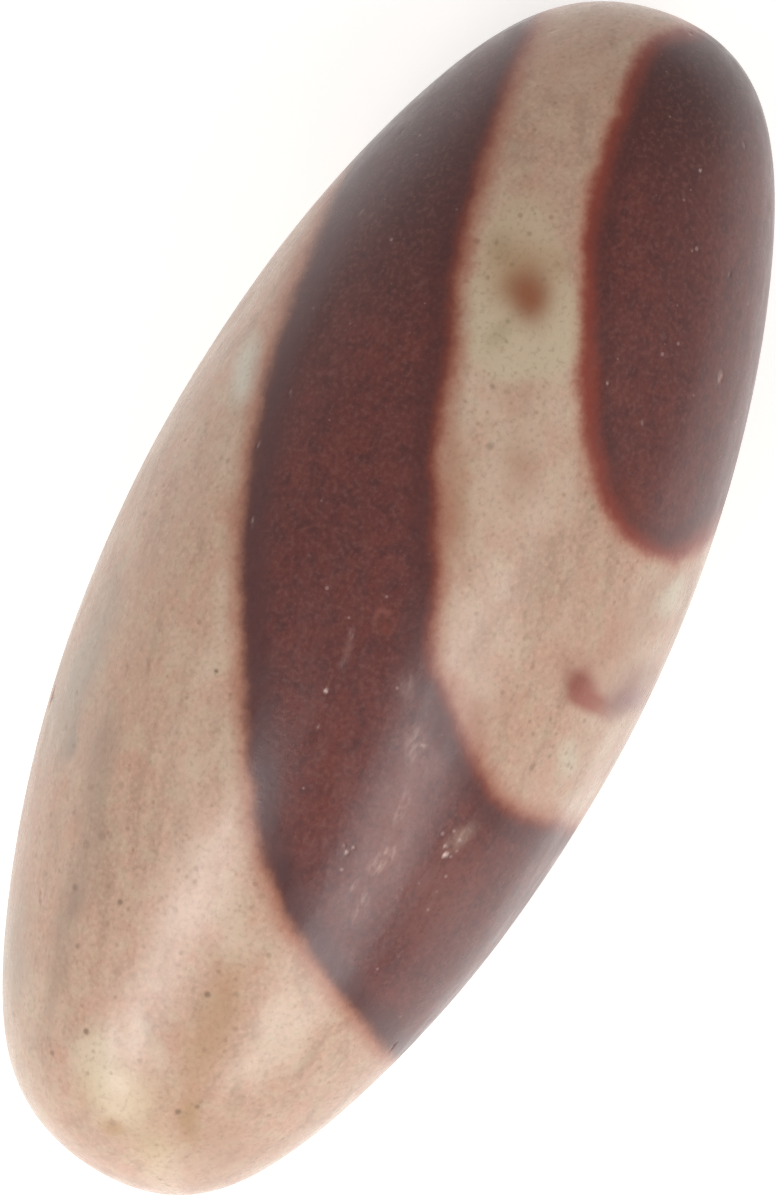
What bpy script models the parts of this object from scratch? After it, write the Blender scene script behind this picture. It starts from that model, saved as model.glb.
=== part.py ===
"""A river stone, ground and polished by hand into a blunt egg, lying on its flattest side.

The stone is one solid piece. X runs along its length, Y across it and Z up, and the origin is on the
surface that it rests on, under the middle of the stone. Units are metres.
"""

import math

import bmesh
import bpy
from mathutils import Matrix, Vector

LENGTH = 0.100
BREADTH = 0.0432
THICKNESS = 0.0400

# Both ends are fuller than an ellipsoid's, the -X end more so, and the flanks between the waist and the
# ends are a little leaner.
LOW_END_FULLNESS = 0.30
HIGH_END_FULLNESS = 0.24
FLANK_LEANNESS = 0.03

# Each tip bends this far towards -Y, so that the stone isn't quite straight.
TIP_BEND = 0.0009

# The worn flat that the stone rests on, about 17 mm by 7 mm once it is this deep.
REST_FLAT_DEPTH = 0.0004

# Shallow flats that the grinding left along the stone, with soft edges: the angle round the stone from
# +Y towards +Z, the lean towards the +X end, and how deep the middle of the flat was taken.
GROUND_FLATS = (
    # degrees round, degrees of lean, depth
    (66.0, -9.0, 0.00030),
    (118.0, 11.0, 0.00034),
    (164.0, -6.0, 0.00028),
    (212.0, 8.0, 0.00034),
    (322.0, -10.0, 0.00032),
    (14.0, 7.0, 0.00026),
)
FLAT_EDGE = 0.00022

# 5 gives 5120 triangles, each about 2 mm on a side.
SUBDIVISIONS = 5

STONE_COLOUR = (0.43, 0.27, 0.20, 1.0)
STONE_ROUGHNESS = 0.36


def clear_scene():
    """Removes whatever the file opened with."""
    for old in list(bpy.data.objects):
        bpy.data.objects.remove(old)


def polished_stone():
    """The stone's finish: a fine polish on banded jasper and sandstone."""
    material = bpy.data.materials.new("polished_banded_stone")
    material.use_nodes = True
    surface = material.node_tree.nodes["Principled BSDF"]
    surface.inputs["Base Color"].default_value = STONE_COLOUR
    surface.inputs["Roughness"].default_value = STONE_ROUGHNESS
    surface.inputs["Metallic"].default_value = 0.0
    return material


def egg_point(direction):
    """Where a unit direction from the middle of the stone meets the blunt egg."""
    along, across, up = direction
    end = along * along
    end_fullness = LOW_END_FULLNESS if along < 0.0 else HIGH_END_FULLNESS
    fullness = 1.0 + end_fullness * end**4 - FLANK_LEANNESS * end * (1.0 - end)
    return Vector(
        (
            along * LENGTH / 2,
            across * fullness * BREADTH / 2 - TIP_BEND * end**10,
            up * fullness * THICKNESS / 2,
        )
    )


def reach(normal):
    """How far the plain ellipsoid reaches from its middle along a unit normal."""
    x, y, z = normal
    return math.hypot(x * LENGTH / 2, y * BREADTH / 2, z * THICKNESS / 2)


def soft_excess(height, edge):
    """How much of a height above the grinding plane is taken off: none well below it, all well above."""
    return edge * math.log1p(math.exp(min(height / edge, 50.0)))


def grind_flat(point, degrees_round, degrees_lean, depth):
    """The point after one soft-edged flat has been ground along the stone."""
    turn = math.radians(degrees_round)
    lean = math.radians(degrees_lean)
    normal = Vector(
        (
            math.sin(lean),
            math.cos(lean) * math.cos(turn),
            math.cos(lean) * math.sin(turn),
        )
    )
    height = point.dot(normal) - (reach(normal) - depth)
    return point - normal * soft_excess(height, FLAT_EDGE)


def shape_stone(mesh_vertices):
    """Moves the points of a unit sphere onto the stone, in place."""
    rest_level = REST_FLAT_DEPTH - THICKNESS / 2
    for vertex in mesh_vertices:
        point = egg_point(vertex.co)
        for flat in GROUND_FLATS:
            point = grind_flat(point, *flat)
        point.z = max(point.z, rest_level)
        vertex.co = point


def fit_to_size(mesh_vertices):
    """Scales the ground stone to its stated size and stands it on the origin, centred over it."""
    low = Vector([min(v.co[k] for v in mesh_vertices) for k in range(3)])
    high = Vector([max(v.co[k] for v in mesh_vertices) for k in range(3)])
    wanted = (LENGTH, BREADTH, THICKNESS)
    scale = Matrix.Diagonal([wanted[k] / (high[k] - low[k]) for k in range(3)])
    foot = Vector(((low.x + high.x) / 2, (low.y + high.y) / 2, low.z))
    for vertex in mesh_vertices:
        vertex.co = scale @ (vertex.co - foot)


def build_stone(collection):
    """The whole stone, from a sphere whose poles are turned to the stone's two tips."""
    shape = bmesh.new()
    bmesh.ops.create_icosphere(
        shape,
        subdivisions=SUBDIVISIONS,
        radius=1.0,
        matrix=Matrix.Rotation(math.radians(90.0), 4, "Y"),
    )
    shape_stone(shape.verts)
    fit_to_size(shape.verts)
    bmesh.ops.recalc_face_normals(shape, faces=shape.faces)
    mesh = bpy.data.meshes.new("stone")
    shape.to_mesh(mesh)
    shape.free()
    mesh.shade_smooth()
    mesh.materials.append(polished_stone())
    stone = bpy.data.objects.new("stone", mesh)
    collection.objects.link(stone)
    return stone


def main():
    clear_scene()
    parts = bpy.data.collections.new("shiva_lingam_stone")
    bpy.context.scene.collection.children.link(parts)
    build_stone(parts)


main()
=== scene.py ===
"""A hand-polished banded river stone lying on its flattest side, seen from straight above.

The CAD solid gives the shape. This script lays a fine skin over it, cuts small chips into the skin, and
gives it the look of the real stone: maroon bands through rose-tan jasper. Units are metres, and the marks
are placed in millimetres on the plan, X along the stone and Y across it, as the CAD has them.
"""

import math

import bpy
import numpy as np
from mathutils import Matrix, Vector, noise


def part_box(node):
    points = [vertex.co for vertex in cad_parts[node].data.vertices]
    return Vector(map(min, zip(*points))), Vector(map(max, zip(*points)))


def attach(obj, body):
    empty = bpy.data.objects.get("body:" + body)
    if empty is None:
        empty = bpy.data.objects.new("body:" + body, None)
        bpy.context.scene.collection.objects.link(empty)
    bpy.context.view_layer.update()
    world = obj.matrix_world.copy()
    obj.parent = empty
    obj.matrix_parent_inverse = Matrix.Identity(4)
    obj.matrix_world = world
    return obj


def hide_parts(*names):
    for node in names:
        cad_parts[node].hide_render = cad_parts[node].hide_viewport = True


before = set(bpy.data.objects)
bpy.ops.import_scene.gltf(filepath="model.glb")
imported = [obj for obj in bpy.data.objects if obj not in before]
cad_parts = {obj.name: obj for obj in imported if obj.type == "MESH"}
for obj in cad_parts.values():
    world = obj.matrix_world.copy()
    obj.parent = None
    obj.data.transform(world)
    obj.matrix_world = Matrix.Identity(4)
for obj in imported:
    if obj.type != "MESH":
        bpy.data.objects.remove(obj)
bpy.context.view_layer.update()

MM = 0.001

# The camera looks straight down. The photograph's long side spans this much of the level where the stone
# is widest, and its middle is a little off the stone's own.
CAMERA_LENS = 150.0
CAMERA_SENSOR = 36.0
CAMERA_TURN = -63.444
PHOTO_SPAN = 92.99 * MM
PHOTO_MIDDLE = (-0.398 * MM, -0.104 * MM)
WIDEST_LEVEL = 20.0 * MM
CAMERA_HEIGHT = PHOTO_SPAN * CAMERA_LENS / CAMERA_SENSOR

# The skin: 7 gives triangles of about 0.6 mm, and round each small mark they are cut 4 times finer.
SKIN_SUBDIVISIONS = 7
MARK_CUTS = 3
MARK_MARGIN = 0.5 * MM
# So is the mesh under a stain whose half width in mm is less than this.
NARROW_STAIN = 1.2
# How many times the CAD solid's facets are rounded off, and how the skin wrapped on it is smoothed.
CORE_LEVELS = 2
SKIN_SMOOTHING = 0.5
SKIN_SMOOTHING_STEPS = 6

# Hand grinding leaves the surface very slightly uneven. This fades out just above what the stone rests on.
GRINDING_WAVE = 13.0 * MM
GRINDING_DEPTH = 0.035 * MM
GRINDING_FADE = 3.0 * MM

# All marks are placed in mm on the plan, where the camera sees them on the level that is widest.
#
# The edges of the maroon bands. Each runs off both sides of the stone, with the maroon on its right-hand
# side as the points go.
FAR_EDGE = (
    (-36.0, -27.0), (-31.9, -16.2), (-29.2, -10.0), (-26.5, -5.0), (-22.3, 0.0), (-17.5, 3.4),
    (-10.0, 7.65), (-5.0, 10.4), (0.0, 12.8), (5.0, 14.4), (12.5, 16.5), (20.0, 17.35), (27.5, 17.85),
    (38.0, 18.4),
)
NEAR_EDGE = (
    (58.0, 12.3), (45.0, 9.7), (40.0, 9.3), (32.5, 8.1), (25.1, 6.5), (20.1, 4.25), (12.6, 1.95),
    (7.65, -0.5), (2.65, -3.0), (-2.3, -4.85), (-4.8, -7.45), (-8.3, -11.65), (-10.25, -14.6),
    (-10.35, -18.0), (-9.1, -23.0), (-5.7, -31.0),
)
LOBE_EDGE = (
    (28.0, -27.0), (18.0, -21.6), (13.2, -19.5), (11.8, -16.8), (12.6, -13.1), (15.2, -10.2), (20.0, -6.5),
    (25.0, -4.2), (30.0, -1.7), (35.0, 0.0), (42.5, 1.2), (47.5, 1.2), (50.5, -1.8), (56.0, -6.0),
)
EDGE_STEP = 0.5
# With this seed the small marks keep close to where they are placed.
WAVERING_SEED = 595

# Below its widest level the stone's marks are a guess: the plan is turned, shifted and wavered bit by bit on
# the way to the underside, so that it isn't a mirror image of the top.
UNDERSIDE_TURN = 24.0
UNDERSIDE_SHIFT = (-7.0, 5.0)
UNDERSIDE_WAVE = 16.0
UNDERSIDE_WAVER = 2.6

# Soft stains in the tan, with a few patches of painted highlight and painted shade, in the order they are
# laid:
# colour, strength, x, y, half length, half width, degrees turned, and how much of the stain is its soft edge.
# They fade out below the widest level.
STAINS_AND_PAINTED_SHADING = (
    # lighter tan between the streaks and the far edge, which is a painted highlight where the long softbox's
    # reflection lies, and a darker low tip
    ("d2b7a6", 0.45, -26.0, 4.4, 11.0, 5.0, 12.0, 0.9),
    ("a5836f", 0.50, -45.0, -7.5, 7.0, 5.0, 0.0, 0.9),
    # cream tip, greener at its sides, with a brown middle
    ("c1ac8f", 0.70, -44.2, 1.2, 4.8, 4.4, 70.0, 0.8),
    ("bda98a", 0.55, -46.6, -3.0, 3.2, 3.0, 60.0, 0.9),
    ("c3b798", 0.45, -42.6, 4.6, 4.4, 2.8, 25.0, 0.9),
    ("a27a56", 0.60, -46.3, 0.7, 2.0, 1.3, 90.0, 0.9),
    # yellow-brown smudge along the low side
    ("a17d5c", 0.55, -36.0, -2.8, 10.5, 3.2, 4.0, 0.9),
    ("9a7a52", 0.50, -43.2, -4.5, 3.0, 1.5, 25.0, 0.9),
    # grey-brown bedding streaks
    ("957f70", 0.50, -32.5, 11.2, 10.0, 2.2, 10.0, 0.9),
    ("958172", 0.50, -22.0, 14.2, 9.0, 2.4, 17.0, 0.9),
    ("8a7361", 0.40, -39.5, 9.2, 4.6, 1.3, 22.0, 0.9),
    ("7d6a5c", 0.25, -32.2, 11.2, 2.4, 0.7, 22.0, 0.9),
    ("84746b", 0.45, -21.4, 16.9, 2.4, 0.8, 18.0, 0.9),
    # pale green by the far rim, and the lighter rim itself
    ("bdb5a6", 0.80, 10.6, 17.7, 4.4, 1.8, 12.0, 0.8),
    ("a0978a", 0.60, -16.0, 18.6, 13.0, 2.4, 6.0, 0.9),
    ("a2907f", 0.55, -37.5, 13.8, 9.0, 2.2, 24.0, 0.9),
    # browner tan towards the high end, and a darker, redder tan by the near rim, which is painted shade
    ("bd9880", 0.35, 43.0, 5.5, 10.0, 7.0, 10.0, 0.9),
    ("aa7c67", 0.50, 5.0, -17.6, 7.0, 3.0, 0.0, 0.9),
    # brown shade along the near edge
    ("a07a64", 0.45, 14.0, -4.4, 4.5, 3.0, 30.0, 0.9),
    ("9c6d52", 0.60, 8.0, -1.8, 7.0, 2.2, 27.0, 0.9),
    ("9a6450", 0.55, -5.4, -10.0, 5.5, 1.5, 51.0, 0.9),
    ("9c6d58", 0.38, -3.4, -10.6, 5.5, 3.4, 45.0, 0.9),
    ("9c6d52", 0.50, 12.8, 0.6, 4.2, 1.7, 27.0, 0.9),
    ("a57460", 0.28, 11.4, -5.6, 5.0, 4.0, 0.0, 0.9),
    # pale patch across the stripe, with its brown spot
    ("bcaa90", 0.80, 23.4, 0.2, 5.4, 6.6, 18.0, 0.30),
    ("bba68b", 0.70, 28.6, 2.8, 6.6, 4.6, 20.0, 0.60),
    ("c4bcae", 0.40, 21.4, 4.4, 2.6, 1.2, 20.0, 0.9),
    ("968463", 0.45, 28.0, 4.3, 2.2, 1.7, 30.0, 0.9),
    ("968463", 0.40, 21.9, 1.4, 2.0, 1.4, -20.0, 0.9),
    ("a08563", 0.35, 28.8, -0.4, 1.8, 1.4, 60.0, 0.9),
    ("98704d", 0.65, 26.4, 1.7, 5.2, 4.2, 50.0, 0.95),
    ("84492d", 0.92, 25.5, 0.8, 3.3, 2.8, 40.0, 0.95),
    # cream spots by the near rim
    ("bfb39d", 0.65, -5.2, -18.2, 2.6, 1.8, 20.0, 0.9),
    ("c6bfaa", 0.60, 9.8, -19.6, 3.2, 1.3, 3.0, 0.9),
    # rust-pink stroke that turns up along the rim
    ("a37262", 0.50, 0.8, -16.0, 4.2, 3.2, 60.0, 0.9),
    ("8f655c", 0.60, 2.4, -20.2, 4.0, 2.2, -15.0, 0.9),
    ("7a3a2e", 0.90, 0.15, -16.4, 2.3, 1.8, 58.0, 0.9),
    ("914d3e", 0.85, -0.4, -17.9, 2.9, 1.7, 75.0, 0.9),
    ("88605c", 0.75, 0.6, -20.3, 2.8, 1.8, -55.0, 0.9),
)

# The same for the maroon bands, where some of the patches are painted sheen.
BAND_STAINS_AND_SHEEN = (
    # darker towards the high end
    ("462221", 0.80, 34.0, 14.0, 22.0, 10.0, 12.0, 0.9),
    ("441f1e", 0.85, 48.0, -4.0, 15.0, 11.0, 0.0, 0.9),
    ("451714", 0.55, 18.0, 15.0, 14.0, 2.6, 8.0, 0.9),
    # lighter and browner towards the low end, and a dark spot against the far edge; the first of these
    # patches, the greyer one, is painted sheen
    ("7a4a42", 0.50, -19.0, -14.0, 8.0, 5.0, 0.0, 0.9),
    ("69322a", 0.45, -14.0, -2.0, 10.0, 2.8, 20.0, 0.9),
    ("330f0d", 0.75, -22.8, -2.4, 2.6, 1.3, 25.0, 0.9),
    # plum-grey haze inside the far edge, which is painted sheen where the long softbox's reflection crosses
    # the band
    ("5d4648", 0.50, -17.5, 1.5, 5.5, 1.7, 32.0, 0.9),
    # pale haze along the low softbox's reflection, which is painted sheen on the rubbed polish, then pale
    # spots where the polish is worn
    ("7e4334", 0.45, -16.0, -8.4, 10.0, 3.6, 8.0, 0.9),
    ("80615f", 0.35, -5.9, -4.5, 2.8, 1.8, 20.0, 0.9),
    ("8f716b", 0.20, -10.4, -7.6, 3.6, 1.9, 25.0, 0.9),
    ("8d7465", 0.40, -14.2, -13.2, 2.4, 1.1, -25.0, 0.9),
    ("80564e", 0.50, -5.3, 1.0, 1.9, 0.6, 15.0, 0.9),
    # red flush inside the second band's low edge
    ("7c3324", 0.55, 14.6, -13.4, 5.0, 2.2, 62.0, 0.9),
    ("853420", 0.70, 21.5, -6.9, 6.5, 1.6, 30.0, 0.9),
    # ring-shaped mark, open on one side
    ("8a4f44", 0.58, -1.9, -0.5, 1.5, 1.3, 40.0, 0.7),
    ("5c2d27", 0.92, -2.2, -0.75, 1.2, 1.05, 30.0, 0.6),
    ("74342a", 0.60, -2.4, -0.9, 0.8, 0.6, 60.0, 0.9),
)
# How far swirls of about this wavelength pull a stain out of shape, in mm.
SWIRL = 0.5
SWIRL_WAVE = 2.6
# Between these heights in mm the stains fade from none to whole.
STAIN_FADE = (11.0, 18.0)

# Dark mineral grains large enough to place: x, y, radius, strength.
GRAINS = (
    (-40.8, 5.9, 0.46, 0.70),
    (-43.4, 7.5, 0.42, 0.60),
    (-30.6, 8.0, 0.42, 0.65),
    (-35.2, 9.4, 0.46, 0.50),
    (-32.5, 8.1, 0.40, 0.40),
    (-31.2, 11.6, 0.50, 0.45),
    (-35.3, 4.5, 0.50, 0.35),
    (-34.0, -1.3, 0.45, 0.65),
    (-43.1, -3.3, 0.45, 0.65),
    (-42.2, -4.4, 0.38, 0.55),
    (-46.2, 0.9, 0.60, 0.35),
    (-35.4, -4.4, 0.40, 0.40),
    (-33.0, -3.2, 0.42, 0.40),
    (-38.0, -3.0, 0.38, 0.35),
    (-27.7, 12.3, 0.60, 0.35),
    (-26.7, 11.6, 0.60, 0.35),
    (-31.2, 14.1, 0.40, 0.45),
    (-22.5, 12.0, 0.50, 0.35),
    (-23.7, 14.0, 0.50, 0.35),
    (-40.2, -9.7, 0.38, 0.40),
    (-43.3, -1.9, 0.34, 0.30),
    (-25.3, -1.6, 0.45, 0.35),
    (-29.3, 3.9, 0.42, 0.35),
    (-11.2, 9.3, 0.32, 0.80),
    (13.7, -1.9, 0.55, 0.45),
    (27.5, 6.2, 0.45, 0.50),
    (23.0, 1.2, 0.35, 0.45),
    (18.0, 0.1, 0.38, 0.55),
    (11.5, 20.3, 0.35, 0.60),
    (-6.9, -15.9, 0.50, 0.50),
    (-18.8, 19.7, 0.50, 0.80),
)

# Bruises and chips, where the polish is broken and the stone shows pale, and flat patches of painted sheen:
# x, y, half length, half width, degrees turned, paleness, and depth in mm.
BRUISES_AND_SHEEN = (
    (-16.1, -12.9, 0.50, 0.34, -15.0, 0.95, 0.04),
    (-15.5, -12.6, 0.32, 0.24, 0.0, 0.80, 0.03),
    (-15.3, -13.5, 0.30, 0.22, 0.0, 0.60, 0.02),
    (-14.5, -13.4, 0.34, 0.24, 40.0, 0.65, 0.02),
    (-13.6, -13.9, 0.30, 0.22, 0.0, 0.55, 0.02),
    (-14.2, -12.7, 0.26, 0.20, 0.0, 0.45, 0.02),
    (-14.4, -13.4, 1.80, 1.00, -30.0, 0.30, 0.0),
    (-19.3, -6.0, 0.36, 0.26, 0.0, 0.80, 0.03),
    (-18.7, -6.3, 0.28, 0.22, 0.0, 0.75, 0.02),
    (-18.9, -5.6, 0.24, 0.20, 0.0, 0.60, 0.02),
    (-8.9, 1.1, 0.32, 0.30, 0.0, 0.90, 0.03),
    (-11.6, 0.4, 0.28, 0.26, 0.0, 0.45, 0.02),
    # The next eight flat ones lie along the low softbox's reflection in the maroon: scuffs and scratches,
    # with their sheen painted in pale.
    (-18.6, -8.7, 2.60, 1.10, -15.0, 0.46, 0.0),
    (-22.4, -8.8, 2.60, 0.90, 12.0, 0.38, 0.0),
    (-14.2, -8.2, 2.80, 1.20, 10.0, 0.32, 0.0),
    (-9.4, -6.9, 2.60, 1.30, 25.0, 0.34, 0.0),
    (-5.6, -4.4, 2.20, 1.00, 30.0, 0.24, 0.0),
    (-21.5, -7.6, 1.50, 0.30, -8.0, 0.35, 0.0),
    (-9.3, -7.6, 0.70, 0.30, -60.0, 0.60, 0.0),
    (-10.6, -8.4, 1.60, 0.45, 40.0, 0.35, 0.0),
    (-4.1, 1.25, 0.90, 0.40, 10.0, 0.30, 0.0),
    (-6.3, 0.8, 1.10, 0.45, 15.0, 0.26, 0.0),
    (0.3, 12.0, 0.80, 0.20, 20.0, 0.50, 0.04),
    (5.9, 14.3, 0.45, 0.20, 20.0, 0.50, 0.04),
    (10.6, 13.8, 0.60, 0.16, 30.0, 0.40, 0.03),
    (26.6, -15.4, 0.80, 0.50, 20.0, 0.70, 0.05),
    (43.5, -9.0, 0.36, 0.24, 40.0, 0.70, 0.03),
    (40.2, -6.9, 0.28, 0.24, 0.0, 0.60, 0.02),
    (20.7, -11.6, 0.36, 0.20, 30.0, 0.60, 0.03),
    (22.2, -7.8, 0.26, 0.22, 0.0, 0.50, 0.02),
    (34.0, -12.5, 0.32, 0.22, 0.0, 0.40, 0.04),
    (49.3, -1.5, 0.45, 0.28, 0.0, 0.60, 0.05),
    (25.5, 15.2, 0.90, 0.30, 10.0, 0.30, 0.0),
    (32.6, 15.1, 0.45, 0.22, 30.0, 0.35, 0.03),
    (-33.0, 13.6, 0.85, 0.28, 38.0, 0.85, 0.12),
    (-31.2, -15.9, 0.80, 0.24, 28.0, 0.55, 0.08),
    (44.8, 8.1, 0.60, 0.20, -55.0, 0.45, 0.04),
    (-18.7, 19.8, 1.10, 0.34, 13.0, 0.0, 0.20),
)

# The small marks that the camera sees are set on the skin above this level, just under the widest one.
SEEN_LEVEL = WIDEST_LEVEL * 0.98
# How steeply a chip's depth, and a mark's colour, rise from its rim.
CHIP_SLOPE = 1.3
MARK_SLOPE = 1.25

# The lower half, which the photograph doesn't show, gets small marks of the same kinds. They lie between
# these degrees round the stone, from +Y towards +Z, and this far towards either tip.
LOWER_MARKS_SEED = 7
LOWER_GRAINS = 22
LOWER_BRUISES = 14
LOWER_DEGREES = (190.0, 350.0)
LOWER_REACH = 0.9
# Their half lengths in mm and strengths, and a bruise's half width and depth as shares of its half length.
LOWER_SIZES = (0.28, 0.55)
LOWER_STRENGTHS = (0.4, 0.8)
LOWER_BRUISE_WIDTH = 0.6
LOWER_BRUISE_DEPTH = 0.15

# How far a band's edge wanders from its line, how far its fine grains fray it, and its softness, in mm.
EDGE_WANDER = 1.05
EDGE_FRAY = 0.45
EDGE_SOFTNESS = 0.58
# Fine dark grains in the tan and pale flecks in the maroon: their spacing and largest radius, in mm.
PEPPER = (0.9, 0.24)
FLECKS = (1.4, 0.20)
# The luck that a speck needs to be there at all, and to be of the largest size.
SPECK_LUCK = (0.20, 0.50)
# How strong the finer details of the cloudy noise are.
CLOUD_ROUGHNESS = 0.55
# How deep the fine grains and pits are.
PIT_DEPTH = 0.008 * MM
# How rough the stone is where the polish is best and where it is rubbed, and how much a bruise adds.
POLISHED_ROUGHNESS = 0.22
RUBBED_ROUGHNESS = 0.36
BRUISE_ROUGHNESS = 0.3
JASPER_IOR = 1.54

# The Mix node's colour sockets.
MIX_BELOW, MIX_ABOVE, MIX_OUT = 6, 7, 2

FLOOR_RADIUS = 2.5
FLOOR_CORNERS = 96
# The floor lies a hair lower than the stone, so that the two don't share a plane.
FLOOR_DROP = 0.02 * MM
FLOOR_GLOW = 0.43
# The room's brightness near the floor and overhead, and how much of it is left on the +X side.
ROOM_LOW = 0.85
ROOM_OVERHEAD = 0.46
ROOM_FAR_SHARE = 0.75
# It changes between these values of Z, and of X, of the direction looked in.
ROOM_HEIGHTS = (0.0, 0.8)
ROOM_SIDES = (-0.5, 0.9)
# Long soft lights: name, the directions of their two ends, distance in metres, width as a share of the
# distance, and brightness.
SOFTBOXES = (
    ("long_softbox", (-0.34, 0.21, 0.92), (-0.86, 0.27, 0.42), 0.65, 0.32, 4.8),
    ("low_softbox", (0.10, -0.50, 0.86), (-0.66, -0.66, 0.36), 0.65, 0.42, 3.3),
    ("end_softbox", (-0.93, -0.05, 0.42), (-0.93, 0.25, 0.32), 0.60, 0.34, 2.4),
)


def linear(code):
    """A colour written as sRGB hex, as the linear values that a shader takes."""
    srgb = [int(code[k : k + 2], 16) / 255 for k in (0, 2, 4)]
    return [c / 12.92 if c <= 0.04045 else ((c + 0.055) / 1.055) ** 2.4 for c in srgb] + [1.0]


def add_node(tree, kind, settings, inputs):
    """Adds a node. An input given as another node's output is linked, and any other is set."""
    made = tree.nodes.new(kind)
    for name, value in settings.items():
        setattr(made, name, value)
    for name, value in inputs.items():
        if isinstance(value, bpy.types.NodeSocket):
            tree.links.new(value, made.inputs[name])
        else:
            made.inputs[name].default_value = value
    return made


def pick_only(piece):
    """Makes the piece the one that operators act on."""
    bpy.ops.object.select_all(action="DESELECT")
    piece.select_set(True)
    bpy.context.view_layer.objects.active = piece


def apply_all(piece):
    """Applies the piece's modifiers in order."""
    pick_only(piece)
    for modifier in list(piece.modifiers):
        bpy.ops.object.modifier_apply(modifier=modifier.name)


def vertex_rows(piece, what):
    """The piece's vertex places ("co") or normals ("normal") as rows of x, y and z."""
    rows = np.empty(len(piece.data.vertices) * 3, np.float32)
    piece.data.vertices.foreach_get(what, rows)
    return rows.reshape(-1, 3).astype(float)


def rounded_core(node):
    """A copy of the CAD solid whose facets are rounded off, for the skin to be wrapped on."""
    core = node.copy()
    core.data = node.data.copy()
    core.parent = None
    bpy.context.scene.collection.objects.link(core)
    pick_only(core)
    bpy.ops.object.mode_set(mode="EDIT")
    bpy.ops.mesh.select_all(action="SELECT")
    bpy.ops.mesh.remove_doubles(threshold=0.001 * MM)
    bpy.ops.object.mode_set(mode="OBJECT")
    rounding = core.modifiers.new("rounding", "SUBSURF")
    rounding.levels = rounding.render_levels = CORE_LEVELS
    apply_all(core)
    return core


def lower_marks():
    """Directions from the stone's middle, sizes and strengths for the guessed marks of the lower half."""
    draw = np.random.default_rng(LOWER_MARKS_SEED)
    start, end = (math.radians(degrees) for degrees in LOWER_DEGREES)
    marks = []
    for count, is_bruise in ((LOWER_GRAINS, False), (LOWER_BRUISES, True)):
        for _ in range(count):
            round_angle = draw.uniform(start, end)
            along = draw.uniform(-LOWER_REACH, LOWER_REACH)
            size = draw.uniform(*LOWER_SIZES)
            strength = draw.uniform(*LOWER_STRENGTHS)
            marks.append((is_bruise, along, round_angle, size, strength))
    return marks


def seen_plan(places):
    """Where the camera sees each place on the level that is widest, in mm."""
    nearer = CAMERA_HEIGHT / (CAMERA_HEIGHT + WIDEST_LEVEL - places[:, 2])
    middle = np.array(PHOTO_MIDDLE)
    return (middle + (places[:, :2] - middle) * nearer[:, None]) / MM


def small_marks(places):
    """Every grain and bruise, with the patches of painted sheen among the bruises: whether it is a bruise,
    its middle, half length, half width, degrees turned, strength and depth."""
    upper = np.flatnonzero(places[:, 2] > SEEN_LEVEL)
    seen = seen_plan(places[upper])
    marks = []
    for x, y, radius, strength in GRAINS:
        marks.append((False, x, y, radius, radius, 0.0, strength, 0.0))
    for x, y, half_length, half_width, degrees, strength, depth in BRUISES_AND_SHEEN:
        marks.append((True, x, y, half_length, half_width, degrees, strength, depth))
    found = []
    for is_bruise, x, y, *rest in marks:
        nearest = upper[np.argmin(((seen - (x, y)) ** 2).sum(axis=1))]
        found.append((is_bruise, places[nearest], *rest))
    out = places - np.array([0.0, 0.0, WIDEST_LEVEL])
    towards = out / np.linalg.norm(out, axis=1)[:, None]
    for is_bruise, along, round_angle, size, strength in lower_marks():
        ring = math.sqrt(1.0 - along * along)
        direction = np.array([along, ring * math.cos(round_angle), ring * math.sin(round_angle)])
        nearest = np.argmax(towards @ direction)
        depth = LOWER_BRUISE_DEPTH * size if is_bruise else 0.0
        narrowness = LOWER_BRUISE_WIDTH if is_bruise else 1.0
        # The turn follows from the place, so that the marks lie every way.
        degrees = math.degrees(round_angle * 3)
        found.append((is_bruise, places[nearest], size, size * narrowness, degrees, strength, depth))
    return found


def refine_marks(piece):
    """Cuts the mesh finer round each small mark and each narrow stain."""
    places = vertex_rows(piece, "co")
    near = np.zeros(len(places), bool)
    for _, middle, half_length, *_ in small_marks(places):
        near |= np.linalg.norm(places - middle, axis=1) < half_length * MM + MARK_MARGIN
    seen = seen_plan(places)
    above = places[:, 2] > WIDEST_LEVEL
    for _, _, x, y, half_length, half_width, *_ in STAINS_AND_PAINTED_SHADING + BAND_STAINS_AND_SHEEN:
        if half_width < NARROW_STAIN:
            near |= above & (np.hypot(seen[:, 0] - x, seen[:, 1] - y) < half_length)
    corners = np.array([polygon.vertices[:] for polygon in piece.data.polygons])
    pick_only(piece)
    bpy.ops.object.mode_set(mode="EDIT")
    bpy.ops.mesh.select_mode(type="FACE")
    bpy.ops.mesh.select_all(action="DESELECT")
    bpy.ops.object.mode_set(mode="OBJECT")
    piece.data.polygons.foreach_set("select", near[corners].any(axis=1))
    bpy.ops.object.mode_set(mode="EDIT")
    bpy.ops.mesh.subdivide(number_cuts=MARK_CUTS)
    bpy.ops.object.mode_set(mode="OBJECT")


def stone_skin(core, low, high):
    """The stone's skin: a fine sphere, stretched to the stone's size and wrapped on the rounded core."""
    bpy.ops.object.select_all(action="DESELECT")
    bpy.ops.mesh.primitive_ico_sphere_add(
        subdivisions=SKIN_SUBDIVISIONS, radius=1.0, rotation=(0.0, math.radians(90.0), 0.0)
    )
    skin = bpy.context.object
    skin.name = skin.data.name = "stone_skin"
    bpy.ops.object.transform_apply(location=False, rotation=True, scale=False)
    skin.scale = (high - low) / 2
    skin.location = (high + low) / 2
    bpy.ops.object.transform_apply(location=True, rotation=False, scale=True)
    refine_marks(skin)
    wrap = skin.modifiers.new("wrap", "SHRINKWRAP")
    wrap.target = core
    polish = skin.modifiers.new("polish", "SMOOTH")
    polish.factor = SKIN_SMOOTHING
    polish.iterations = SKIN_SMOOTHING_STEPS
    apply_all(skin)
    bpy.data.objects.remove(core)
    return skin


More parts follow.
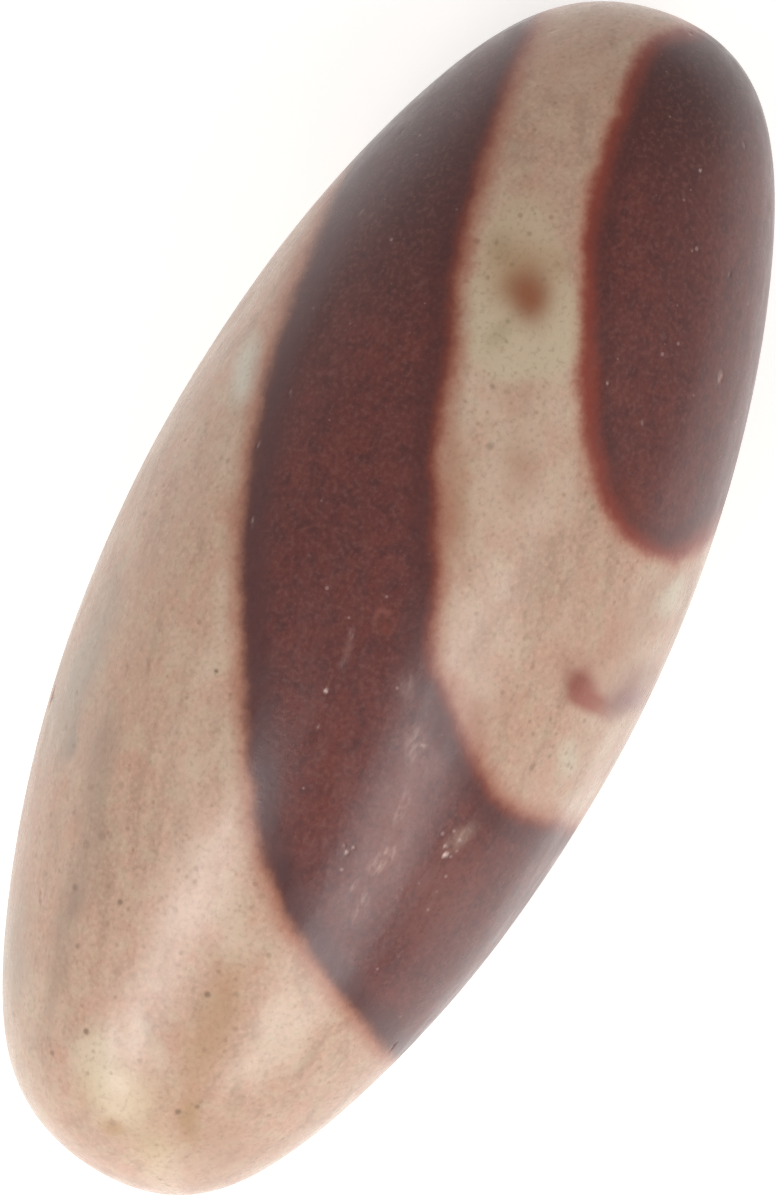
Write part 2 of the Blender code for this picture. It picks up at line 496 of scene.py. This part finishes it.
def oval_distance(places, normals, mark):
    """How far each place is from a mark's middle along the surface, as a share of the mark's own size."""
    _, middle, half_length, half_width, degrees, *_ = mark
    facing = normals[np.argmin(((places - middle) ** 2).sum(axis=1))]
    turn = math.radians(degrees)
    along = np.array([math.cos(turn), math.sin(turn), 0.0])
    along -= facing * (along @ facing)
    along /= np.linalg.norm(along)
    across = np.cross(facing, along)
    offset = (places - middle) / MM
    return np.sqrt(
        (offset @ along / half_length) ** 2
        + (offset @ across / half_width) ** 2
        + (offset @ facing / half_length) ** 2
    )


def soft_step(value):
    """Brings 0 to 1 smoothly to 0 to 1."""
    held = np.clip(value, 0.0, 1.0)
    return held * held * (3.0 - 2.0 * held)


def grind_and_chip(skin, low, high):
    """Gives the skin its faint unevenness and its chips, and fits it to the CAD solid's box again."""
    places = vertex_rows(skin, "co")
    normals = vertex_rows(skin, "normal")
    uneven = np.array([noise.noise(Vector(place) / GRINDING_WAVE) for place in places])
    clear_of_rest = np.clip(places[:, 2] / GRINDING_FADE, 0.0, 1.0)
    lift = uneven * clear_of_rest * GRINDING_DEPTH
    for mark in small_marks(places):
        depth = mark[-1]
        if depth:
            share = soft_step(CHIP_SLOPE - CHIP_SLOPE * oval_distance(places, normals, mark))
            lift -= share * depth * MM
    places += normals * lift[:, None]
    start, end = places.min(axis=0), places.max(axis=0)
    low, high = np.array(low), np.array(high)
    places = low + (places - start) * (high - low) / (end - start)
    skin.data.vertices.foreach_set("co", places.astype(np.float32).ravel())
    skin.data.update()


def curve_through(points):
    """Close points on the smooth curve through the given ones."""
    points = np.array(points)
    ends = np.vstack([2 * points[0] - points[1], points, 2 * points[-1] - points[-2]])
    curve = []
    for before, start, end, after in zip(ends, ends[1:], ends[2:], ends[3:]):
        steps = max(2, int(np.linalg.norm(end - start) / EDGE_STEP))
        t = (np.arange(steps) / steps)[:, None]
        bend = (2 * before - 5 * start + 4 * end - after) * t**2
        twist = (3 * start - before - 3 * end + after) * t**3
        curve.append(0.5 * (2 * start + (end - before) * t + bend + twist))
    return np.vstack(curve + [points[-1:]])


def depth_inside(plan, edge_points):
    """How far each place on the plan is to the right of an edge, in mm, and less than none to its left."""
    curve = curve_through(edge_points)
    nearest = np.full(len(plan), np.inf)
    inside = np.zeros(len(plan))
    for (x, y), (run_x, run_y) in zip(curve, np.diff(curve, axis=0)):
        east, north = plan[:, 0] - x, plan[:, 1] - y
        share = np.clip((east * run_x + north * run_y) / (run_x**2 + run_y**2), 0.0, 1.0)
        away = np.hypot(east - share * run_x, north - share * run_y)
        side = np.sign(run_y * east - run_x * north)
        inside = np.where(away < nearest, side * away, inside)
        nearest = np.minimum(nearest, away)
    return inside


def wavering(places, wave):
    """A smooth random pull in x and y for each place, from about -1 to 1, and the same in each run."""
    noise.seed_set(WAVERING_SEED)
    return np.array([noise.noise_vector(Vector(place) / wave)[:2] for place in places])


def marks_plan(places):
    """Where each place reads the marks' plan: as it lies above the widest level, and led away below it."""
    below = np.clip(1.0 - places[:, 2] / WIDEST_LEVEL, 0.0, 1.0)[:, None] ** 2
    turn = np.radians(UNDERSIDE_TURN) * below[:, 0]
    x, y = seen_plan(places).T
    turned = np.column_stack([x * np.cos(turn) - y * np.sin(turn), x * np.sin(turn) + y * np.cos(turn)])
    waver = wavering(places, UNDERSIDE_WAVE * MM) * UNDERSIDE_WAVER
    return turned + below * (np.array(UNDERSIDE_SHIFT) + waver)


def stain_and_shading_paint(swirled, shown, stains):
    """The colour of the stains, and of the patches of painted light and shade among them, at each place, with
    how much of what is under them they cover.
    """
    paint = np.zeros((len(swirled), 3))
    cover = np.zeros(len(swirled))
    for code, strength, x, y, half_length, half_width, degrees, soft_share in stains:
        turn = math.radians(degrees)
        east, north = swirled[:, 0] - x, swirled[:, 1] - y
        along = (east * math.cos(turn) + north * math.sin(turn)) / half_length
        across = (north * math.cos(turn) - east * math.sin(turn)) / half_width
        share = strength * shown * soft_step((1.0 - np.hypot(along, across)) / soft_share)
        paint += (np.array(linear(code)[:3]) - paint) * share[:, None]
        cover += (1.0 - cover) * share
    return np.column_stack([paint / np.maximum(cover, 0.001)[:, None], cover])


def store(skin, name, kind, field, values):
    """Stores a value for each vertex, for the material to read."""
    attribute = skin.data.attributes.new(name, kind, "POINT")
    attribute.data.foreach_set(field, values.astype(np.float32).ravel())


def mark_skin(skin):
    """Stores the bands' edges, the stains with their painted highlight, shade and sheen, the grains, and the
    bruises with their painted sheen on the skin.
    """
    places = vertex_rows(skin, "co")
    normals = vertex_rows(skin, "normal")
    plan = marks_plan(places)
    for name, edge in (("far_edge", FAR_EDGE), ("near_edge", NEAR_EDGE), ("lobe_edge", LOBE_EDGE)):
        store(skin, name, "FLOAT", "value", depth_inside(plan, edge))
    swirled = plan + wavering(places, SWIRL_WAVE * MM) * SWIRL
    shown = soft_step((places[:, 2] / MM - STAIN_FADE[0]) / (STAIN_FADE[1] - STAIN_FADE[0]))
    # The stains in the tan include patches of painted highlight and painted shade, and those in the maroon
    # patches of painted sheen.
    store(skin, "stain", "FLOAT_COLOR", "color", stain_and_shading_paint(swirled, shown, STAINS_AND_PAINTED_SHADING))
    store(skin, "band_stain_and_sheen", "FLOAT_COLOR", "color", stain_and_shading_paint(swirled, shown, BAND_STAINS_AND_SHEEN))
    shares = {False: np.zeros(len(places)), True: np.zeros(len(places))}
    for mark in small_marks(places):
        is_bruise, strength = mark[0], mark[5]
        share = strength * soft_step(MARK_SLOPE - MARK_SLOPE * oval_distance(places, normals, mark))
        shares[is_bruise] = np.maximum(shares[is_bruise], share)
    store(skin, "grain", "FLOAT", "value", shares[False])
    # The bruises carry the patches of painted sheen too.
    store(skin, "bruise", "FLOAT", "value", shares[True])


def clouds(add, mm, size, detail=3.0, stretch=1.0, degrees=0.0):
    """Cloudy noise with blotches about size mm across, longer by the stretch in a direction on the plan."""
    laid = add(
        "ShaderNodeMapping",
        {"vector_type": "TEXTURE"},
        {
            "Vector": mm,
            "Rotation": (0.0, 0.0, math.radians(degrees)),
            "Scale": (size * stretch, size, size),
        },
    ).outputs["Vector"]
    inputs = {"Vector": laid, "Scale": 1.0, "Detail": detail, "Roughness": CLOUD_ROUGHNESS}
    return add("ShaderNodeTexNoise", {}, inputs).outputs["Fac"]


def laid_over(add, paint, layers):
    """The paint with each colour laid over it in turn, from none to its strength as a value goes from
    start to end."""
    for colour, value, start, end, strength in layers:
        share = add(
            "ShaderNodeMapRange",
            {"interpolation_type": "SMOOTHSTEP"},
            {"Value": value, "From Min": start, "From Max": end, "To Max": strength},
        ).outputs["Result"]
        above = linear(colour) if isinstance(colour, str) else colour
        inputs = {"Factor": share, MIX_BELOW: paint, MIX_ABOVE: above}
        paint = add("ShaderNodeMix", {"data_type": "RGBA"}, inputs).outputs[MIX_OUT]
    return paint


def tan_paint(add, mm):
    """Rose-tan jasper: grey-brown and cream clouds drawn out along the bedding, and round clouds of rose
    and pale green."""
    bedding = clouds(add, mm, 1.8, detail=4.0, stretch=4.5, degrees=17.0)
    drift = clouds(add, mm, 7.0, detail=2.0, stretch=1.6, degrees=20.0)
    rose = clouds(add, mm, 2.4, detail=2.0)
    green = clouds(add, mm, 1.6, detail=2.0)
    return laid_over(
        add,
        linear("b3927e"),
        [
            ("997c6a", bedding, 0.47, 0.66, 0.50),
            ("c4af9b", drift, 0.47, 0.66, 0.55),
            ("b68671", rose, 0.48, 0.66, 0.28),
            ("b8a98e", green, 0.48, 0.66, 0.28),
        ],
    )


def specks(add, mm, spacing, largest_radius):
    """How far each place is inside one of the fine specks, as a share of their spacing. They differ in size
    and gather in some places."""
    gathered = clouds(add, mm, 5.0, detail=2.0)
    cells = add("ShaderNodeTexVoronoi", {"feature": "F1"}, {"Vector": mm, "Scale": 1.0 / spacing})
    chance = add("ShaderNodeSeparateColor", {}, {"Color": cells.outputs["Color"]}).outputs["Red"]
    luck = add("ShaderNodeMath", {"operation": "MULTIPLY"}, {0: chance, 1: gathered}).outputs[0]
    least, most = SPECK_LUCK
    radius = add(
        "ShaderNodeMapRange",
        {},
        {"Value": luck, "From Min": least, "From Max": most, "To Max": largest_radius / spacing},
    ).outputs["Result"]
    distance = cells.outputs["Distance"]
    return add("ShaderNodeMath", {"operation": "SUBTRACT"}, {0: radius, 1: distance}).outputs[0]


def maroon_paint(add, mm):
    """Iron-red jasper: near-even maroon, with redder and darker clouds of 1 to 4 mm."""
    red = clouds(add, mm, 3.6)
    dark = clouds(add, mm, 1.2)
    return laid_over(
        add,
        linear("5c2c28"),
        [
            ("66302a", red, 0.42, 0.66, 0.7),
            ("4b2525", dark, 0.48, 0.66, 0.6),
        ],
    )


def banded_stone():
    """The stone's finish. Hand-polished jasper: a soft gloss over cloudy colour, with fine dark grains."""
    material = bpy.data.materials.new("hand_polished_banded_jasper")
    material.use_nodes = True
    tree = material.node_tree
    tree.nodes.clear()

    def add(kind, settings, inputs):
        return add_node(tree, kind, settings, inputs)

    place = add("ShaderNodeTexCoord", {}, {}).outputs["Object"]
    mm = add("ShaderNodeVectorMath", {"operation": "SCALE"}, {0: place, "Scale": 1.0 / MM}).outputs[0]
    # The coarse noise bends the bands' edges, and the fine one frays them and pits the surface. The sand
    # grains are finer than would show, so the grit is drawn coarser.
    coarse = clouds(add, mm, 2.6)
    fine = clouds(add, mm, 0.45, detail=2.0)
    grit = clouds(add, mm, 0.38, detail=2.0)
    scuffs = clouds(add, mm, 0.38, stretch=2.6, degrees=6.0)
    stored = {
        name: add("ShaderNodeAttribute", {"attribute_name": name}, {})
        for name in ("far_edge", "near_edge", "lobe_edge", "stain", "band_stain_and_sheen", "grain", "bruise")
    }

    # The noise lies round a half, which is taken off again so that the edges stay where they are placed.
    half_wander = add(
        "ShaderNodeMath",
        {"operation": "MULTIPLY_ADD"},
        {0: coarse, 1: EDGE_WANDER, 2: -0.5 * (EDGE_WANDER + EDGE_FRAY)},
    ).outputs[0]
    wander = add(
        "ShaderNodeMath", {"operation": "MULTIPLY_ADD"}, {0: fine, 1: EDGE_FRAY, 2: half_wander}
    ).outputs[0]
    far, near, lobe = (
        add("ShaderNodeMath", {"operation": "ADD"}, {0: stored[name].outputs["Fac"], 1: wander}).outputs[0]
        for name in ("far_edge", "near_edge", "lobe_edge")
    )
    band = add("ShaderNodeMath", {"operation": "MINIMUM"}, {0: far, 1: near}).outputs[0]

    # The drawn-out noise breaks the bruises, and the painted sheen among them, up into fine scuffs along the
    # stone.
    broken = add(
        "ShaderNodeMapRange", {}, {"Value": scuffs, "From Min": 0.38, "From Max": 0.62, "To Min": 0.25}
    ).outputs["Result"]
    bruises_and_sheen = add(
        "ShaderNodeMath", {"operation": "MULTIPLY"}, {0: stored["bruise"].outputs["Fac"], 1: broken}
    ).outputs[0]

    ground = laid_over(
        add,
        tan_paint(add, mm),
        [
            ("d9b19b", grit, 0.50, 0.28, 0.25),
            # stains, with a painted highlight and painted shade among them
            (stored["stain"].outputs["Color"], stored["stain"].outputs["Alpha"], 0.0, 1.0, 1.0),
            ("846652", grit, 0.50, 0.74, 0.30),
            ("84664e", specks(add, mm, *PEPPER), -0.08, 0.16, 0.45),
            ("5f4735", stored["grain"].outputs["Fac"], 0.0, 0.9, 0.80),
            ("955843", band, -1.8, 0.0, 0.75),
            ("a5604a", lobe, -1.2, 0.3, 0.60),
        ],
    )
    maroon = laid_over(
        add,
        maroon_paint(add, mm),
        [
            # stains in the maroon, with painted sheen among them
            (stored["band_stain_and_sheen"].outputs["Color"], stored["band_stain_and_sheen"].outputs["Alpha"], 0.0, 1.0, 1.0),
            ("734b45", grit, 0.48, 0.72, 0.40),
            ("361b1d", grit, 0.50, 0.28, 0.35),
            ("a68a86", specks(add, mm, *FLECKS), -0.02, 0.07, 0.42),
        ],
    )
    band_paint = laid_over(
        add,
        maroon,
        [
            ("4a292a", far, 3.2, 1.2, 0.75),
            ("673a2c", far, 0.9, 0.1, 0.6),
            ("46201f", near, 3.0, 1.5, 0.5),
            ("783727", near, 1.2, 0.1, 0.85),
        ],
    )
    lobe_paint = laid_over(
        add,
        maroon,
        [
            ("49211f", lobe, 3.0, 1.8, 0.4),
            ("83382a", lobe, 1.8, 0.2, 0.90),
        ],
    )
    colour = laid_over(
        add,
        ground,
        [
            (band_paint, band, -EDGE_SOFTNESS, EDGE_SOFTNESS, 1.0),
            (lobe_paint, lobe, -EDGE_SOFTNESS, EDGE_SOFTNESS, 1.0),
            # pale bruises and chips, and the painted sheen of the scuffed polish
            ("ceb3a9", bruises_and_sheen, 0.0, 1.0, 0.9),
        ],
    )

    rubbed = clouds(add, mm, 1.2, detail=4.0, stretch=3.0, degrees=8.0)
    gloss = add(
        "ShaderNodeMapRange",
        {},
        {
            "Value": rubbed,
            "From Min": 0.3,
            "From Max": 0.7,
            "To Min": POLISHED_ROUGHNESS,
            "To Max": RUBBED_ROUGHNESS,
        },
    ).outputs["Result"]
    roughness = add(
        "ShaderNodeMath", {"operation": "MULTIPLY_ADD"}, {0: bruises_and_sheen, 1: BRUISE_ROUGHNESS, 2: gloss}
    ).outputs[0]
    pits = add(
        "ShaderNodeMath", {"operation": "SUBTRACT"}, {0: fine, 1: stored["grain"].outputs["Fac"]}
    ).outputs[0]
    bump = add(
        "ShaderNodeBump", {}, {"Strength": 1.0, "Distance": PIT_DEPTH, "Height": pits}
    ).outputs["Normal"]
    surface = add(
        "ShaderNodeBsdfPrincipled",
        {},
        {"Base Color": colour, "Roughness": roughness, "IOR": JASPER_IOR, "Normal": bump},
    )
    add("ShaderNodeOutputMaterial", {}, {"Surface": surface.outputs["BSDF"]})
    return material


def pale_board():
    """The floor's finish: white acrylic sheet lit a little from below, which keeps the shadow faint."""
    material = bpy.data.materials.new("pale_acrylic_board")
    material.use_nodes = True
    surface = material.node_tree.nodes["Principled BSDF"]
    surface.inputs["Base Color"].default_value = linear("f0efed")
    surface.inputs["Roughness"].default_value = 0.7
    surface.inputs["Emission Color"].default_value = linear("ffffff")
    surface.inputs["Emission Strength"].default_value = FLOOR_GLOW
    return material


def lay_floor():
    """A wide plain floor that the stone lies on."""
    bpy.ops.object.select_all(action="DESELECT")
    bpy.ops.mesh.primitive_circle_add(vertices=FLOOR_CORNERS, radius=FLOOR_RADIUS, fill_type="NGON")
    floor = bpy.context.object
    floor.name = floor.data.name = "floor"
    floor.location.z = -FLOOR_DROP
    bpy.ops.object.transform_apply(location=True, rotation=False, scale=False)
    floor.data.materials.append(pale_board())


def hang_softbox(name, near_end, far_end, distance, width, brightness):
    """A long soft light whose middle line is seen from the stone between two directions."""
    start, end = (Vector(direction).normalized() * distance for direction in (near_end, far_end))
    middle = (start + end) / 2
    out = middle.normalized()
    along = (end - start).normalized()
    along = (along - out * along.dot(out)).normalized()
    panel = bpy.data.lights.new(name, "AREA")
    panel.shape = "RECTANGLE"
    panel.size = (end - start).length
    panel.size_y = width * distance
    panel.energy = brightness * math.pi * panel.size * panel.size_y
    light = bpy.data.objects.new(name, panel)
    light.matrix_world = Matrix((along, out.cross(along), out)).transposed().to_4x4()
    light.location = middle
    light.visible_camera = False
    bpy.context.scene.collection.objects.link(light)


def light_the_room():
    """A pale room that is brighter near the floor than overhead, and on the -X side, with three softboxes."""
    world = bpy.data.worlds.new("pale_room")
    world.use_nodes = True
    tree = world.node_tree
    tree.nodes.clear()
    direction = add_node(tree, "ShaderNodeTexCoord", {}, {}).outputs["Generated"]
    bearing = add_node(tree, "ShaderNodeSeparateXYZ", {}, {"Vector": direction})
    by_height = add_node(
        tree,
        "ShaderNodeMapRange",
        {"interpolation_type": "SMOOTHSTEP"},
        {
            "Value": bearing.outputs["Z"],
            "From Min": ROOM_HEIGHTS[0],
            "From Max": ROOM_HEIGHTS[1],
            "To Min": ROOM_LOW,
            "To Max": ROOM_OVERHEAD,
        },
    ).outputs["Result"]
    by_side = add_node(
        tree,
        "ShaderNodeMapRange",
        {},
        {
            "Value": bearing.outputs["X"],
            "From Min": ROOM_SIDES[0],
            "From Max": ROOM_SIDES[1],
            "To Min": 1.0,
            "To Max": ROOM_FAR_SHARE,
        },
    ).outputs["Result"]
    brightness = add_node(
        tree, "ShaderNodeMath", {"operation": "MULTIPLY"}, {0: by_height, 1: by_side}
    ).outputs[0]
    room = add_node(
        tree, "ShaderNodeBackground", {}, {"Color": linear("fffdfa"), "Strength": brightness}
    ).outputs["Background"]
    add_node(tree, "ShaderNodeOutputWorld", {}, {"Surface": room})
    bpy.context.scene.world = world
    for softbox in SOFTBOXES:
        hang_softbox(*softbox)


def set_camera():
    """The camera over the stone, turned so that the stone lies as in the photograph."""
    camera = bpy.data.cameras.new("camera")
    camera.lens = CAMERA_LENS
    camera.sensor_width = CAMERA_SENSOR
    eye = bpy.data.objects.new("camera", camera)
    eye.location = (*PHOTO_MIDDLE, WIDEST_LEVEL + CAMERA_HEIGHT)
    eye.rotation_euler = (0.0, 0.0, math.radians(CAMERA_TURN))
    bpy.context.scene.collection.objects.link(eye)
    bpy.context.scene.camera = eye


def main():
    """Dresses the stone and sets the picture up."""
    low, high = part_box("stone")
    skin = stone_skin(rounded_core(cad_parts["stone"]), low, high)
    grind_and_chip(skin, low, high)
    mark_skin(skin)
    pick_only(skin)
    bpy.ops.object.shade_smooth()
    skin.data.materials.clear()
    skin.data.materials.append(banded_stone())
    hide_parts("stone")
    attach(skin, "root")
    lay_floor()
    light_the_room()
    set_camera()
    bpy.context.scene.view_settings.view_transform = "Standard"


main()
